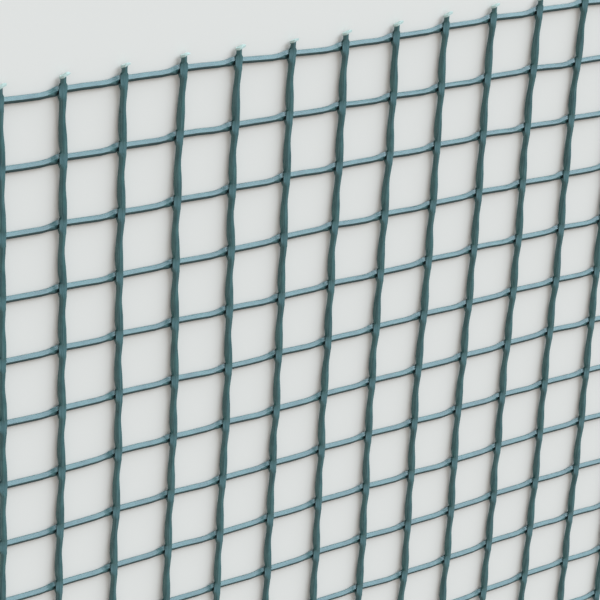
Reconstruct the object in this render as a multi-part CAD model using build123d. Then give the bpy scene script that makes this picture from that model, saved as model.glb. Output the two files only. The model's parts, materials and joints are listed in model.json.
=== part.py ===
from build123d import *
import os

# A flat length of extruded plastic garden mesh, lying on its back.
# The upright strands run along Y and stand proud in front, towards +Z. The
# level strands run along X behind them and lie on Z = 0. Both layers leave the
# die hot and are pressed into each other, so the whole mesh is one solid. The
# first and last uprights are the edges of the roll; the top and bottom are
# cut across it, and leave short stubs.

# The grid, in millimetres
pitch = 25.0
upright_count = 21
level_count = 16
end_stub = 7.0
cut_slant = 1.4

# Upright strands: widest above each crossing, drawn in just below it
upright_width = 2.6
upright_depth = 2.4
waist_cut = 0.4
waist_drop = 2.5
belly_share = 0.4

# Level strands: each span hangs a little, lowest past its middle
level_width = 2.4
level_depth = 2.0
level_sag = 0.6
sag_share = 0.7

# How far the two layers are pressed into each other at a crossing
weld_depth = 1.3

upright_reach = pitch * (upright_count - 1) / 2
level_reach = pitch * (level_count - 1) / 2
upright_xs = [pitch * i - upright_reach for i in range(upright_count)]
level_ys = [pitch * j - level_reach for j in range(level_count)]
upright_back = level_depth - weld_depth


def upright_strand(x):
    """A strand along Y, with a straight right edge and a wavy left one."""
    left = x - upright_width / 2
    right = x + upright_width / 2
    waist = left + waist_cut
    bottom = -level_reach - end_stub
    top = level_reach + end_stub
    wavy_edge = [(waist, bottom)]
    for y in level_ys:
        wavy_edge.append((waist, y - waist_drop))
        if y < level_ys[-1]:
            wavy_edge.append((left, y + belly_share * pitch))
    wavy_edge.append((waist, top - cut_slant))
    outline = make_face(Polyline(*wavy_edge, (right, top), (right, bottom + cut_slant), close=True))
    return Pos(0, 0, upright_back) * extrude(outline, amount=upright_depth)


def level_strand(y):
    """A strand along X that ends flush with the waists of the edge uprights."""
    end = upright_width / 2 - waist_cut
    centre_line = [(-upright_reach - end, y)]
    for x in upright_xs:
        centre_line.append((x, y))
        if x < upright_reach:
            centre_line.append((x + sag_share * pitch, y - level_sag))
    centre_line.append((upright_reach + end, y))
    upper_edge = [(px, py + level_width / 2) for px, py in centre_line]
    lower_edge = [(px, py - level_width / 2) for px, py in reversed(centre_line)]
    outline = make_face(Polyline(*upper_edge, *lower_edge, close=True))
    return extrude(outline, amount=level_depth)


uprights = [upright_strand(x) for x in upright_xs]
levels = [level_strand(y) for y in level_ys]
mesh_sheet = uprights[0].fuse(*uprights[1:], *levels)

os.makedirs("parts", exist_ok=True)
export_step(mesh_sheet, "parts/mesh_sheet.step")
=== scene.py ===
import bpy
import bmesh
import json
import math
from mathutils import Matrix, Vector

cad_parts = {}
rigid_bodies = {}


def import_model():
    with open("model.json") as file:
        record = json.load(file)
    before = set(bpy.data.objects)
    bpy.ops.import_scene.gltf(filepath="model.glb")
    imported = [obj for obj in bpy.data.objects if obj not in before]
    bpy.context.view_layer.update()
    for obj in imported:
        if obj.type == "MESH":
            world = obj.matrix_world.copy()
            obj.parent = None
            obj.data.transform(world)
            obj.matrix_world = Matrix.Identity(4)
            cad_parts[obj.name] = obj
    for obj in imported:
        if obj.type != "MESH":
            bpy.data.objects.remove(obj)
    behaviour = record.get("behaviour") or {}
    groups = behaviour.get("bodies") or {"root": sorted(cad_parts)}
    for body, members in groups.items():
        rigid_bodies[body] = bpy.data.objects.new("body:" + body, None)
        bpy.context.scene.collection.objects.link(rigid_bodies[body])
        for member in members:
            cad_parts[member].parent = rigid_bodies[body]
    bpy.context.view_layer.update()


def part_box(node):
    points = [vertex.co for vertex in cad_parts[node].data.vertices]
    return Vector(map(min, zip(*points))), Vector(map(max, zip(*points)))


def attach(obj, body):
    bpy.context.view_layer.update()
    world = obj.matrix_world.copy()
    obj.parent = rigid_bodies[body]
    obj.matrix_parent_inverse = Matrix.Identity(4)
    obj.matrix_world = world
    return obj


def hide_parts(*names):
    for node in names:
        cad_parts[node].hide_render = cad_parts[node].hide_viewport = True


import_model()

# The weld at a crossing. Both strands leave the die as hot polyethylene and are pressed into
# each other where they cross. The level strand comes in from the left gathered up the flank of
# the upright, over a small hollow, and leaves blunt on the right.

mm = 0.001
pitch = 25.0

# The level strand's outline as (y, z) in millimetres: along a span, and gathered at a weld
span_outline = [
    (-0.88, 0.20), (-0.70, 0.00), (1.10, 0.00), (1.34, 0.12), (1.44, 0.32),
    (1.42, 0.54), (0.44, 1.72), (0.30, 1.82), (-0.84, 1.20), (-1.00, 0.84),
]
gathered_outline = [
    (-1.30, 0.10), (-1.05, 0.00), (1.20, 0.00), (1.66, 0.14), (1.92, 0.50),
    (2.26, 1.08), (1.00, 2.00), (-0.60, 0.60), (-1.16, 1.24), (-1.50, 0.66),
]
# How far out from the crossing each of those points lies, on the left and on the right
gathered_reach = [1.60, 1.60, 1.60, 1.50, 0.90, 0.55, 1.20, 0.95, 1.46, 1.50]
blunt_reach = [1.50, 1.50, 1.50, 1.50, 1.40, 1.32, 1.28, 1.28, 1.32, 1.36]
# The upright's front face over the weld as (x, z), in rows from below it to above it
front_rows = [
    (-2.6, [(-0.86, 2.58), (-0.46, 3.00), (-0.10, 3.05), (1.14, 2.86)]),
    (-0.9, [(-1.66, 2.54), (-0.60, 2.80), (0.25, 2.86), (1.24, 2.70)]),
    (0.8, [(-1.70, 2.40), (-0.66, 2.62), (0.25, 2.70), (1.48, 2.60)]),
    (2.4, [(-1.48, 2.36), (-0.56, 2.66), (0.15, 2.75), (1.40, 2.66)]),
]
# How much paler the weld's front face is painted at each of those places: painted light on the flattened
# face, and above 1 on its left edge, painted light that lifts the shade on the upright's flank
front_pressed = [(0.0, 0.2, 0.5, 0.4), (1.3, 1.0, 1.0, 0.8), (1.3, 1.0, 1.0, 0.8), (1.2, 0.7, 0.6, 0.5)]

# The weld is a block of points (i, j, k): i counts from left to right, j from bottom to top and
# k from back to front. These are the ways round its open ends, as (j, k) and as (i, k)
level_loop = [(0, 0), (1, 0), (2, 0), (3, 0), (3, 1), (3, 2), (2, 2), (1, 2), (0, 2), (0, 1)]
upright_loop = [(0, 1), (1, 1), (2, 1), (3, 1), (3, 2), (3, 3), (2, 3), (1, 3), (0, 3), (0, 2)]
# Where the upright's back comes out from behind the level strand, below and above it
back_corners = {
    (1, 0, 1): (-0.74, -1.44, 0.80), (2, 0, 1): (0.72, -1.30, 1.05),
    (1, 3, 1): (-0.62, 1.84, 0.66), (2, 3, 1): (0.72, 1.60, 0.60),
}
# Painted shade in the hollow on the left, and on the level strand's underside on the right
weld_painted_shade = {(0, 1, 2): 2.0, (0, 0, 1): 0.1, (3, 0, 1): 1.0, (3, 0, 2): 1.0, (3, 1, 2): 0.6}
# The level strand's upper face on the left, stretched up the flank: the palest of all, partly stress
# whitening and partly painted light against the upright's cast shadow
stretch_and_painted_light = 1.6
weld_stretch_and_painted_light = {(0, 3, 2): stretch_and_painted_light, (0, 2, 2): stretch_and_painted_light}
# How much the die's lines run along the level strand on the weld's sides, from 0 to 1
side_lines = 0.6


def between(start, end, share):
    return start + (end - start) * share


weld_points = {}
for (j, k), (y, z), reach in zip(level_loop, gathered_outline, gathered_reach):
    weld_points[0, j, k] = Vector((-reach, y, z))
for (j, k), (y, z), reach in zip(level_loop, span_outline, blunt_reach):
    weld_points[3, j, k] = Vector((reach, y, z))
for j in range(4):
    for i in (1, 2):
        weld_points[i, j, 0] = weld_points[0, j, 0].lerp(weld_points[3, j, 0], i / 3)
for spot, place in back_corners.items():
    weld_points[spot] = Vector(place)
for j, (y, row) in enumerate(front_rows):
    for i, (x, z) in enumerate(row):
        weld_points[i, j, 3] = Vector((x, y, z))


def new_shape():
    """A mesh under construction, with the marks that the plastic's finish reads: among them painted shade,
    and paleness that is painted light and partly stress whitening.
    """
    bm = bmesh.new()
    for mark in ("along_x", "pale_cut", "painted_shade", "pressed"):
        bm.verts.layers.float.new(mark)
    return bm


def add_points(bm, places, along_x=0.0, pale_cut=0.0, painted_shade=None, pressed=None):
    """along_x and pale_cut hold for all the points; the painted shade and the paleness (painted light,
    partly stress whitening) give some points an amount of their own, by their number in the list."""
    layers = bm.verts.layers.float
    points = []
    for number, place in enumerate(places):
        point = bm.verts.new(Vector(place) * mm)
        point[layers["along_x"]] = along_x
        point[layers["pale_cut"]] = pale_cut
        point[layers["painted_shade"]] = (painted_shade or {}).get(number, 0.0)
        point[layers["pressed"]] = (pressed or {}).get(number, 0.0)
        points.append(point)
    return points


def shape_object(name, bm):
    mesh = bpy.data.meshes.new(name)
    bm.to_mesh(mesh)
    bm.free()
    return bpy.data.objects.new(name, mesh)


def weld_shape():
    bm = new_shape()
    spot = {}
    for (i, j, k), place in weld_points.items():
        in_front = k == 3
        lines = 0.0 if in_front else side_lines
        # Painted shade in the hollow beside the weld and under the level strand
        painted_shade_share = weld_painted_shade.get((i, j, k), 0.0)
        # Painted light on the weld's front and flank; on the level strand's end it is partly stress
        # whitening
        paler = front_pressed[j][i] if in_front else weld_stretch_and_painted_light.get((i, j, k), 0.0)
        spot[i, j, k] = add_points(bm, [place], lines, painted_shade={0: painted_shade_share}, pressed={0: paler})[0]
    for m in range(3):
        for n in range(3):
            for k in (0, 3):
                bm.faces.new((spot[m, n, k], spot[m + 1, n, k], spot[m + 1, n + 1, k], spot[m, n + 1, k]))
        for side in (0, 3):
            bm.faces.new((spot[m, side, 0], spot[m + 1, side, 0], spot[m + 1, side, 1], spot[m, side, 1]))
            bm.faces.new((spot[side, m, 2], spot[side, m + 1, 2], spot[side, m + 1, 3], spot[side, m, 3]))
    return shape_object("weld", bm)


# The level spans. Each stretch of level strand has a broad face that looks up and to the front,
# and a narrow one that looks down, darkened with painted shade. It was drawn sideways while still
# soft, so it sags in a straight run and then climbs sharply to the next weld, paler there with
# stress whitening and with painted light against the upright's cast shadow.

lowest_share = 0.70
level_sag = 0.68
# Where along a span each change begins and ends, as shares of it from left to right
climb_shares = (0.77, 0.93)
dip_shares = (0.85, 0.96)
stretch_and_painted_light_shares = (0.85, 0.93)
span_stretch_and_painted_light = 1.5
level_shares = (0.085, 0.36, 0.66, 0.77, 0.82, 0.87, 0.915)
# How much the die's lines run along the level strand on a span's first ring
start_lines = 0.8
# Painted shade by number round the loop: under the span, and in the hollow that it ends at
underside_painted_shade = {7: 0.6, 8: 1.0, 9: 1.0}
hollow_painted_shade = {7: 2.0, 9: 0.1}
# The two corners of the broad upper face that are paler, for stretching and painted light
upper_corners = (5, 6)


def smooth_share(low, high, value):
    """0 below low, 1 above high, and a smooth rise between them."""
    t = min(max((value - low) / (high - low), 0.0), 1.0)
    return t * t * (3 - 2 * t)


def level_ring(share):
    """Ten points round the strand, at a share of the span from left to right."""
    climb = smooth_share(*climb_shares, share)
    dip = smooth_share(*dip_shares, share)
    sag = -level_sag * min(share / lowest_share, (1 - share) / (1 - lowest_share))
    x = (share - 0.5) * pitch
    return [(x, between(y, y_end, climb) + sag, between(z, z_end, dip))
            for (y, z), (y_end, z_end) in zip(span_outline, gathered_outline)]


def skin(bm, rings):
    """Faces from each ring to the next."""
    count = len(rings[0])
    for first, second in zip(rings, rings[1:]):
        for m in range(count):
            n = (m + 1) % count
            bm.faces.new((first[m], first[n], second[n], second[m]))


def level_span_shape():
    bm = new_shape()
    half = Vector((pitch / 2, 0, 0))
    start = [weld_points[3, j, k] - half for j, k in level_loop]
    rings = [add_points(bm, start, start_lines, painted_shade=underside_painted_shade)]
    for share in level_shares:
        # Paler towards the weld: partly stress whitening, partly painted light against the upright's cast
        # shadow
        paler = span_stretch_and_painted_light * smooth_share(*stretch_and_painted_light_shares, share)
        rings.append(add_points(bm, level_ring(share), 1.0, painted_shade=underside_painted_shade,
                                pressed=dict.fromkeys(upper_corners, paler)))
    end = [weld_points[0, j, k] + half for j, k in level_loop]
    rings.append(add_points(bm, end, side_lines, painted_shade=hollow_painted_shade,
                            pressed=dict.fromkeys(upper_corners, stretch_and_painted_light)))
    skin(bm, rings)
    return shape_object("level_span", bm)


# The upright spans. The upright strands stand proud in front of the level ones, with a ridge
# down the front that divides two faces. From a shoulder just above each weld a stretch swells
# to a belly on its left, is drawn thin past that, and runs to a waist below the next weld.

# Left, right, back and front of the strand in millimetres: above a weld, below one, at the belly
above_weld = (-0.92, 1.22, 1.16, 2.98)
below_weld = (-0.98, 1.22, 1.04, 2.98)
at_belly = (-1.30, 1.30, 0.64, 3.06)
# What the shoulder adds to those, and what the drawing takes off them
shoulder_out = (0.0, 0.25, 0.0, 0.0)
drawn_in = (0.08, -0.36, 0.0, -0.30)
# Where each change begins and ends, as shares of a span from bottom to top
swell_shares, shrink_shares = (0.07, 0.27), (0.46, 0.86)
thin_shares, thick_shares = (0.28, 0.60), (0.62, 0.88)
shoulder_shares = (0.08, 0.28)
belly_share = 0.4
upright_shares = (0.12, 0.19, 0.27, 0.37, 0.47, 0.57, 0.66, 0.76, 0.86)
# How far across the front the ridge stands, from the left
ridge_share = 0.37


def upright_outline(left, right, back, front):
    """Ten points (x, z) round an upright strand, in millimetres."""
    ridge = between(left, right, ridge_share)
    return [
        (left, back + 0.16), (left + 0.26, back), (right - 0.42, back), (right - 0.06, back + 0.34),
        (right, front - 0.62), (right - 0.16, front - 0.20), (ridge + 0.16, front),
        (ridge - 0.16, front - 0.04), (left + 0.24, front - 0.44), (left - 0.02, between(back, front, 0.45)),
    ]


def upright_ring(share):
    """Ten points round the strand, at a share of the span from bottom to top."""
    belly = smooth_share(*swell_shares, share) * (1 - smooth_share(*shrink_shares, share))
    drawn = smooth_share(*thin_shares, share) * (1 - smooth_share(*thick_shares, share))
    shoulder = 1 - smooth_share(*shoulder_shares, share)
    waist = above_weld if share < belly_share else below_weld
    sides = [between(narrow, wide, belly) + more * shoulder + less * drawn
             for narrow, wide, more, less in zip(waist, at_belly, shoulder_out, drawn_in)]
    return [(x, (share - 0.5) * pitch, z) for x, z in upright_outline(*sides)]


def upright_span_shape():
    bm = new_shape()
    half = Vector((0, pitch / 2, 0))
    rings = [add_points(bm, [weld_points[i, 3, k] - half for i, k in upright_loop])]
    for share in upright_shares:
        rings.append(add_points(bm, upright_ring(share)))
    rings.append(add_points(bm, [weld_points[i, 0, k] + half for i, k in upright_loop]))
    skin(bm, rings)
    return shape_object("upright_span", bm)


# The cut ends. Shears cut the mesh across its uprights, between two level strands. What is left
# of a span is thin, and ends in a slanted face that the blades have crushed to a pale lip,
# wider than the strand and dragged to the right.

end_stub = 7.0
# Left, right, back and front of the stub, and of its root with how far that is from the weld
stub_sides = (-0.78, 0.98, 1.30, 2.96)
root_sides = (-0.84, 1.02, 1.22, 2.97)
root_height = 3.3
# The middle that a lip spreads from, the front that it stays behind, and the stub's span
# across and in depth that the cut slants over
middle_x, middle_z = 0.10, 2.10
foremost = 3.06
slant_across, slant_deep = (-0.8, 1.0), (1.3, 2.96)
# Slant, tilt and drag of the cut in millimetres, for each kind of end
cut_kinds = [(0.9, 0.45, 1.2), (0.7, 0.60, 0.9), (1.1, 0.30, 1.4)]
# Rings up to the cut: distance below it, spread, share of the drag, and paleness
lip_rings = [
    (1.35, 1.00, 0.00, 0.0), (1.05, 1.08, 0.35, 0.1), (0.80, 1.36, 0.85, 1.0),
    (0.00, 1.30, 1.00, 1.0), (0.10, 0.70, 0.50, 1.0),
]


def cut_end_shape(name, side, slant, tilt, drag):
    """side is 1 at the top and -1 at the bottom."""

    def cut_ring(below, spread, dragged, pale):
        """The stub's outline laid on the cut, spread about its middle."""
        places = []
        for x, z in upright_outline(*stub_sides):
            right = smooth_share(*slant_across, x)
            forward = smooth_share(*slant_deep, z)
            y = end_stub - slant * (1 - right) - tilt * (1 - forward) - below
            x = between(middle_x, x, spread) + dragged * right
            z = min(between(middle_z, z, spread), foremost)
            places.append((x, side * y, z))
        return add_points(bm, places, pale_cut=pale)

    bm = new_shape()
    j = 3 if side > 0 else 0
    rings = [add_points(bm, [weld_points[i, j, k] for i, k in upright_loop])]
    root = [(x, side * root_height, z) for x, z in upright_outline(*root_sides)]
    rings.append(add_points(bm, root))
    for below, spread, drag_share, pale in lip_rings:
        rings.append(cut_ring(below, spread, drag_share * drag, pale))
    skin(bm, rings)
    bm.faces.new(rings[-1])
    return shape_object(name, bm)


def cut_end_kinds(name, side):
    kinds = bpy.data.collections.new(name)
    for number, (slant, tilt, drag) in enumerate(cut_kinds):
        kinds.objects.link(cut_end_shape(f"{name}_{number}", side, slant, tilt, drag))
    return kinds


# The plastic. Polyethylene coloured dark blue-green right through, with a satin skin. The die
# leaves fine pale lines along every strand, painted light pales the welds' fronts and the strand
# ends beside them (there partly stress whitening), the cut faces are palest, and painted shade
# darkens the hollow beside each weld and the level strands' undersides.

deep_green, mid_green = (0.025, 0.084, 0.086, 1), (0.041, 0.120, 0.116, 1)
line_green = (0.082, 0.170, 0.175, 1)
# The colour of the painted light on the weld fronts and flanks
pressed_green = (0.064, 0.144, 0.154, 1)
# The strand ends' stress whitening together with painted light
stretch_and_painted_light_green = (0.130, 0.240, 0.250, 1)
speck_colour = (0.014, 0.030, 0.026, 1)
# The colour of the painted shade
painted_shade_colour = (0.010, 0.024, 0.025, 1)
cut_dull, cut_pale = (0.34, 0.48, 0.43, 1), (0.58, 0.68, 0.63, 1)
# Waves of each pattern per metre; the die's lines are long along a strand and fine across it
long_waves, fine_waves = 70, 2600
patch_waves, speck_waves, grain_waves = 190, 700, 9000
# Roughness of the skin where it is glossiest and dullest, and where painted shade darkens it or it is cut
glossiest, dullest, painted_shade_roughness, crushed = 0.17, 0.37, 0.9, 0.6
plastic_ior = 1.54


def feed(tree, socket, value):
    """Sets a socket, or links it where the value is another node's output."""
    if isinstance(value, bpy.types.NodeSocket):
        tree.links.new(value, socket)
    elif value is not None:
        socket.default_value = value


def green_plastic():
    material = bpy.data.materials.new("green_plastic")
    material.use_nodes = True
    tree = material.node_tree
    node = tree.nodes.new
    shader = tree.nodes["Principled BSDF"]
    shader.inputs["IOR"].default_value = plastic_ior
    where = node("ShaderNodeTexCoord")

    def pattern(waves, detail):
        """Noise in object space, with its own number of waves per metre along each axis."""
        scaled = node("ShaderNodeVectorMath")
        scaled.operation = "MULTIPLY"
        feed(tree, scaled.inputs[0], where.outputs["Object"])
        scaled.inputs[1].default_value = waves
        noise = node("ShaderNodeTexNoise")
        noise.inputs["Scale"].default_value = 1.0
        noise.inputs["Detail"].default_value = detail
        feed(tree, noise.inputs["Vector"], scaled.outputs[0])
        return noise.outputs["Fac"]

    def spread(value, start, end, low, high):
        """Maps start to end onto low to high."""
        step = node("ShaderNodeMapRange")
        for socket, number in zip(step.inputs, (value, start, end, low, high)):
            feed(tree, socket, number)
        return step.outputs["Result"]

    def blend(kind, first, second, share):
        step = node("ShaderNodeMix")
        step.data_type = kind
        suffix = "_Color" if kind == "RGBA" else "_Float"
        inputs = {socket.identifier: socket for socket in step.inputs}
        outputs = {socket.identifier: socket for socket in step.outputs}
        feed(tree, inputs["Factor_Float"], share)
        feed(tree, inputs["A" + suffix], first)
        feed(tree, inputs["B" + suffix], second)
        return outputs["Result" + suffix]

    def mark(name):
        attribute = node("ShaderNodeAttribute")
        attribute.attribute_name = name
        return attribute.outputs["Fac"]

    def bump(height, strength, distance, below=None):
        step = node("ShaderNodeBump")
        step.inputs["Strength"].default_value = strength
        step.inputs["Distance"].default_value = distance
        feed(tree, step.inputs["Height"], height)
        feed(tree, step.inputs["Normal"], below)
        return step.outputs["Normal"]

    along_x, pale_cut, painted_shade, pressed = mark("along_x"), mark("pale_cut"), mark("painted_shade"), mark("pressed")
    upright_lines = pattern((fine_waves, long_waves, fine_waves), 4)
    level_lines = pattern((long_waves, fine_waves, fine_waves), 4)
    die_lines = blend("FLOAT", upright_lines, level_lines, along_x)
    patches = pattern((patch_waves,) * 3, 4)
    grain = pattern((grain_waves,) * 3, 2)
    specks = spread(pattern((speck_waves,) * 3, 2), 0.70, 0.78, 0.0, 0.55)
    painted_shade_share = spread(painted_shade, 0.1, 1.0, 0.0, 0.8)

    colour = blend("RGBA", deep_green, mid_green, spread(patches, 0.35, 0.65, 0, 1))
    colour = blend("RGBA", colour, line_green, spread(die_lines, 0.48, 0.70, 0, 0.7))
    # Painted light: paler weld fronts and flanks, and the strand ends beside the welds
    colour = blend("RGBA", colour, pressed_green, spread(pressed, 0.0, 1.0, 0.0, 0.7))
    # Palest where stretched: partly stress whitening, partly painted light against the upright's cast shadow
    colour = blend("RGBA", colour, stretch_and_painted_light_green, spread(pressed, 1.0, 1.6, 0.0, 0.8))
    colour = blend("RGBA", colour, speck_colour, specks)
    # Painted shade in the hollows beside the welds and under the level strands
    colour = blend("RGBA", colour, painted_shade_colour, painted_shade_share)
    cut_colour = blend("RGBA", cut_dull, cut_pale, spread(grain, 0.35, 0.65, 0, 1))
    feed(tree, shader.inputs["Base Color"], blend("RGBA", colour, cut_colour, pale_cut))
    satin = spread(die_lines, 0.3, 0.7, glossiest, dullest)
    satin = blend("FLOAT", satin, painted_shade_roughness, painted_shade_share)
    feed(tree, shader.inputs["Roughness"], blend("FLOAT", satin, crushed, pale_cut))
    lines = bump(die_lines, 0.8, 0.08 * mm)
    waves = bump(patches, 0.5, 0.2 * mm, lines)
    feed(tree, shader.inputs["Normal"], bump(grain, 0.25, 0.01 * mm, waves))
    return material


# The mesh. The roll is one moulding without end: welds on a square grid, joined by level and
# upright spans, and cut across. Its strands drift a little, because the hot tube is stretched
# over a former, slit open and cooled in water.

strands_across = 21
strands_along = 16
# How far the strands drift, and in how many waves per metre
slow_drift, slow_waves = 3.2 * mm, 11.0
quick_drift, quick_waves = 1.0 * mm, 45.0
end_seed = 4
# Points of neighbouring shapes that lie nearer than this are one
join_reach = 0.02 * mm
layout_inputs = [
    ("Weld", "Object"), ("Level span", "Object"), ("Upright span", "Object"),
    ("Top ends", "Collection"), ("Bottom ends", "Collection"), ("Strands across", "Int"),
    ("Strands along", "Int"), ("Pitch", "Float"), ("Slow drift", "Float"), ("Quick drift", "Float"),
    ("Outer corner", "Vector"), ("Seed", "Int"), ("Plastic", "Material"),
]


def mesh_layout_tree():
    tree = bpy.data.node_groups.new("mesh_layout", "GeometryNodeTree")
    for name, kind in layout_inputs:
        tree.interface.new_socket(name, in_out="INPUT", socket_type="NodeSocket" + kind)
    tree.interface.new_socket("Geometry", in_out="OUTPUT", socket_type="NodeSocketGeometry")
    node = tree.nodes.new
    given = node("NodeGroupInput").outputs
    step = given["Pitch"]

    def maths(operation, first, second):
        result = node("ShaderNodeMath")
        result.operation = operation
        feed(tree, result.inputs[0], first)
        feed(tree, result.inputs[1], second)
        return result.outputs[0]

    def vector_maths(operation, first, second):
        result = node("ShaderNodeVectorMath")
        result.operation = operation
        feed(tree, result.inputs[0], first)
        feed(tree, result.inputs["Scale" if operation == "SCALE" else 1], second)
        return result.outputs[0]

    def length_of(count):
        return maths("MULTIPLY", maths("SUBTRACT", count, 1.0), step)

    def vector(x, y):
        result = node("ShaderNodeCombineXYZ")
        feed(tree, result.inputs[0], x)
        feed(tree, result.inputs[1], y)
        return result.outputs[0]

    def grid_points(across, along):
        grid = node("GeometryNodeMeshGrid")
        for name, value in (("Vertices X", across), ("Vertices Y", along),
                            ("Size X", length_of(across)), ("Size Y", length_of(along))):
            feed(tree, grid.inputs[name], value)
        return grid.outputs["Mesh"]

    def edge_points(side):
        """Points along the top or bottom level strand, one on each upright."""
        line = node("GeometryNodeMeshLine")
        feed(tree, line.inputs["Count"], across)
        start_x = maths("MULTIPLY", length_of(across), -0.5)
        start_y = maths("MULTIPLY", length_of(along), 0.5 * side)
        feed(tree, line.inputs["Start Location"], vector(start_x, start_y))
        feed(tree, line.inputs["Offset"], vector(step, 0.0))
        return line.outputs["Mesh"]

    def lay(points, name):
        """One shape at each point, or for the cut ends one of their kinds at random."""
        place = node("GeometryNodeInstanceOnPoints")
        feed(tree, place.inputs["Points"], points)
        if "ends" in name:
            kinds = node("GeometryNodeCollectionInfo")
            kinds.inputs["Separate Children"].default_value = True
            kinds.inputs["Reset Children"].default_value = True
            feed(tree, kinds.inputs["Collection"], given[name])
            pick = node("FunctionNodeRandomValue")
            pick.data_type = "INT"
            choice = {socket.identifier: socket for socket in pick.inputs}
            feed(tree, choice["Min_002"], 0)
            feed(tree, choice["Max_002"], len(cut_kinds) - 1)
            feed(tree, choice["Seed"], given["Seed"])
            feed(tree, place.inputs["Instance Index"], pick.outputs[2])
            place.inputs["Pick Instance"].default_value = True
            feed(tree, place.inputs["Instance"], kinds.outputs[0])
        else:
            part = node("GeometryNodeObjectInfo")
            feed(tree, part.inputs["Object"], given[name])
            feed(tree, place.inputs["Instance"], part.outputs["Geometry"])
        return place.outputs[0]

    across, along = given["Strands across"], given["Strands along"]
    fewer_across, fewer_along = maths("SUBTRACT", across, 1.0), maths("SUBTRACT", along, 1.0)
    joined = node("GeometryNodeJoinGeometry")
    for points, name in ((grid_points(across, along), "Weld"),
                         (grid_points(fewer_across, along), "Level span"),
                         (grid_points(across, fewer_along), "Upright span"),
                         (edge_points(1), "Top ends"), (edge_points(-1), "Bottom ends")):
        feed(tree, joined.inputs[0], lay(points, name))
    real = node("GeometryNodeRealizeInstances")
    feed(tree, real.inputs[0], joined.outputs[0])
    merged = node("GeometryNodeMergeByDistance")
    feed(tree, merged.inputs["Distance"], join_reach)
    feed(tree, merged.inputs["Geometry"], real.outputs[0])

    # Two layers of drift, which move each point in the plane of the mesh only
    moved = node("GeometryNodeInputPosition").outputs[0]
    for waves, strength in ((slow_waves, given["Slow drift"]), (quick_waves, given["Quick drift"])):
        noise = node("ShaderNodeTexNoise")
        noise.inputs["Scale"].default_value = waves
        noise.inputs["Detail"].default_value = 0.0
        drift = vector_maths("SUBTRACT", noise.outputs["Color"], (0.5, 0.5, 0.5))
        flat = vector_maths("MULTIPLY", drift, (1.0, 1.0, 0.0))
        moved = vector_maths("ADD", moved, vector_maths("SCALE", flat, strength))
    # No point leaves the mesh's own box
    corner = given["Outer corner"]
    moved = vector_maths("MINIMUM", moved, corner)
    moved = vector_maths("MAXIMUM", moved, vector_maths("MULTIPLY", corner, (-1.0, -1.0, 0.0)))
    settle = node("GeometryNodeSetPosition")
    feed(tree, settle.inputs["Geometry"], merged.outputs[0])
    feed(tree, settle.inputs["Position"], moved)
    dress = node("GeometryNodeSetMaterial")
    feed(tree, dress.inputs["Geometry"], settle.outputs[0])
    feed(tree, dress.inputs["Material"], given["Plastic"])
    feed(tree, node("NodeGroupOutput").inputs["Geometry"], dress.outputs[0])
    return tree


carrier = bpy.data.objects.new("mesh_carrier", bpy.data.meshes.new("mesh_carrier"))
bpy.context.scene.collection.objects.link(carrier)
layout = carrier.modifiers.new("layout", "NODES")
layout.node_group = mesh_layout_tree()
choices = {
    "Weld": weld_shape(), "Level span": level_span_shape(), "Upright span": upright_span_shape(),
    "Top ends": cut_end_kinds("top_end", 1), "Bottom ends": cut_end_kinds("bottom_end", -1),
    "Strands across": strands_across, "Strands along": strands_along, "Pitch": pitch * mm,
    "Slow drift": slow_drift, "Quick drift": quick_drift, "Outer corner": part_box("mesh_sheet")[1],
    "Seed": end_seed, "Plastic": green_plastic(),
}
for item in layout.node_group.interface.items_tree:
    if item.in_out == "INPUT":
        layout[item.identifier] = choices[item.name]
moulded = carrier.evaluated_get(bpy.context.evaluated_depsgraph_get())
garden_mesh = bpy.data.objects.new("garden_mesh", bpy.data.meshes.new_from_object(moulded))
bpy.context.scene.collection.objects.link(garden_mesh)
# The carrier takes its modifier with it, and the single shapes have done their work
bpy.data.objects.remove(carrier)
for name in ("Weld", "Level span", "Upright span"):
    bpy.data.objects.remove(choices[name])
for name in ("Top ends", "Bottom ends"):
    for shape in list(choices[name].objects):
        bpy.data.objects.remove(shape)
    bpy.data.collections.remove(choices[name])

# The first and last uprights have no span on their outer side: the level strands end flush there
tiny_edge = 0.01 * mm
crease = math.radians(17)
bm = bmesh.new()
bm.from_mesh(garden_mesh.data)
open_edges = [edge for edge in bm.edges if edge.is_boundary]
for edge in open_edges:
    for point in edge.verts:
        point.co.x = math.copysign(choices["Outer corner"][0], point.co.x)
bmesh.ops.holes_fill(bm, edges=open_edges, sides=0)
bmesh.ops.dissolve_degenerate(bm, edges=bm.edges, dist=tiny_edge)
bmesh.ops.recalc_face_normals(bm, faces=bm.faces)
# The joined mesh starts with an empty material slot, and the plastic comes after it
for face in bm.faces:
    face.material_index = 0
bm.to_mesh(garden_mesh.data)
bm.free()
garden_mesh.data.materials.pop(index=0)
garden_mesh.data.shade_smooth()
garden_mesh.data.set_sharp_from_angle(angle=crease)
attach(garden_mesh, "root")
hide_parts("mesh_sheet")

# The floor. A plain pale studio floor that the mesh lies on, matt as paper. It isn't part of
# the object.

floor_reach = 40.0
floor_colour = (0.735, 0.70, 0.645, 1)
floor_mesh = bpy.data.meshes.new("floor")
floor_mesh.from_pydata([(-floor_reach, -floor_reach, 0), (floor_reach, -floor_reach, 0),
                        (floor_reach, floor_reach, 0), (-floor_reach, floor_reach, 0)], [], [(0, 1, 2, 3)])
floor_paint = bpy.data.materials.new("floor")
floor_paint.use_nodes = True
floor_shader = floor_paint.node_tree.nodes["Principled BSDF"]
floor_shader.inputs["Base Color"].default_value = floor_colour
floor_shader.inputs["Roughness"].default_value = 0.9
floor_shader.inputs["Specular IOR Level"].default_value = 0.1
floor_mesh.materials.append(floor_paint)
floor = bpy.data.objects.new("floor", floor_mesh)
bpy.context.scene.collection.objects.link(floor)

# The light. One wide soft lamp, a little blue like the open sky, stands low beyond the cut edge
# of the mesh, so that the level strands shine and the uprights stay dark. The even surround
# fills in, and the camera sees it as a pale backdrop.

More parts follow.
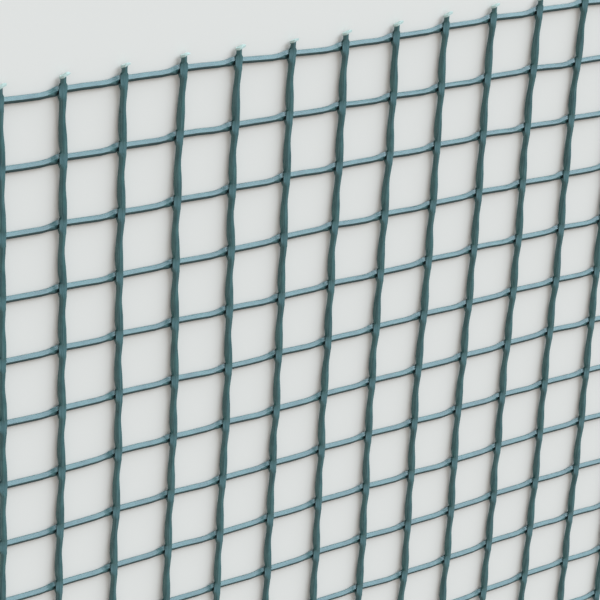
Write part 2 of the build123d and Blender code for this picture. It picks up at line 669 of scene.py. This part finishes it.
lamp_strength = 4.3
lamp_width = math.radians(58)
lamp_colour = (0.72, 0.86, 1.0)
towards_lamp = Vector((0.51, 0.75, 0.41))
surround_colour, surround_strength = (1.0, 1.0, 1.0, 1), 0.60
backdrop_colour = (0.80, 0.80, 0.79, 1)
wide_lamp = bpy.data.objects.new("wide_lamp", bpy.data.lights.new("wide_lamp", "SUN"))
wide_lamp.data.energy = lamp_strength
wide_lamp.data.angle = lamp_width
wide_lamp.data.color = lamp_colour
wide_lamp.rotation_mode = "QUATERNION"
wide_lamp.rotation_quaternion = towards_lamp.to_track_quat("Z", "Y")
bpy.context.scene.collection.objects.link(wide_lamp)
surround = bpy.data.worlds.new("surround")
surround.use_nodes = True
sky = surround.node_tree
sky.nodes["Background"].inputs["Color"].default_value = surround_colour
sky.nodes["Background"].inputs["Strength"].default_value = surround_strength
backdrop = sky.nodes.new("ShaderNodeBackground")
backdrop.inputs["Color"].default_value = backdrop_colour
seen_by_camera = sky.nodes.new("ShaderNodeMixShader")
feed(sky, seen_by_camera.inputs[0], sky.nodes.new("ShaderNodeLightPath").outputs["Is Camera Ray"])
feed(sky, seen_by_camera.inputs[1], sky.nodes["Background"].outputs[0])
feed(sky, seen_by_camera.inputs[2], backdrop.outputs[0])
feed(sky, sky.nodes["World Output"].inputs["Surface"], seen_by_camera.outputs[0])
bpy.context.scene.world = surround

# The camera. It looks down on the mesh from the upper left, at the angle that the photograph's
# camera has to the mesh, with the cut edge along the top.

lens, sensor_width = 129.3, 36
camera_place = Vector((-0.5207, 0.4245, 0.6257))
camera_look = Vector((0.5600, -0.3967, -0.7274)).normalized()
towards_top = Vector((0.1987, 0.9166, -0.3469))
camera = bpy.data.objects.new("camera", bpy.data.cameras.new("camera"))
camera.data.sensor_width = sensor_width
camera.data.lens = lens
picture_right = camera_look.cross(towards_top).normalized()
picture_up = picture_right.cross(camera_look)
facing = Matrix((picture_right, picture_up, -camera_look)).transposed()
camera.matrix_world = Matrix.Translation(camera_place) @ facing.to_4x4()
bpy.context.scene.collection.objects.link(camera)
bpy.context.scene.camera = camera
bpy.context.scene.view_settings.view_transform = "Standard"
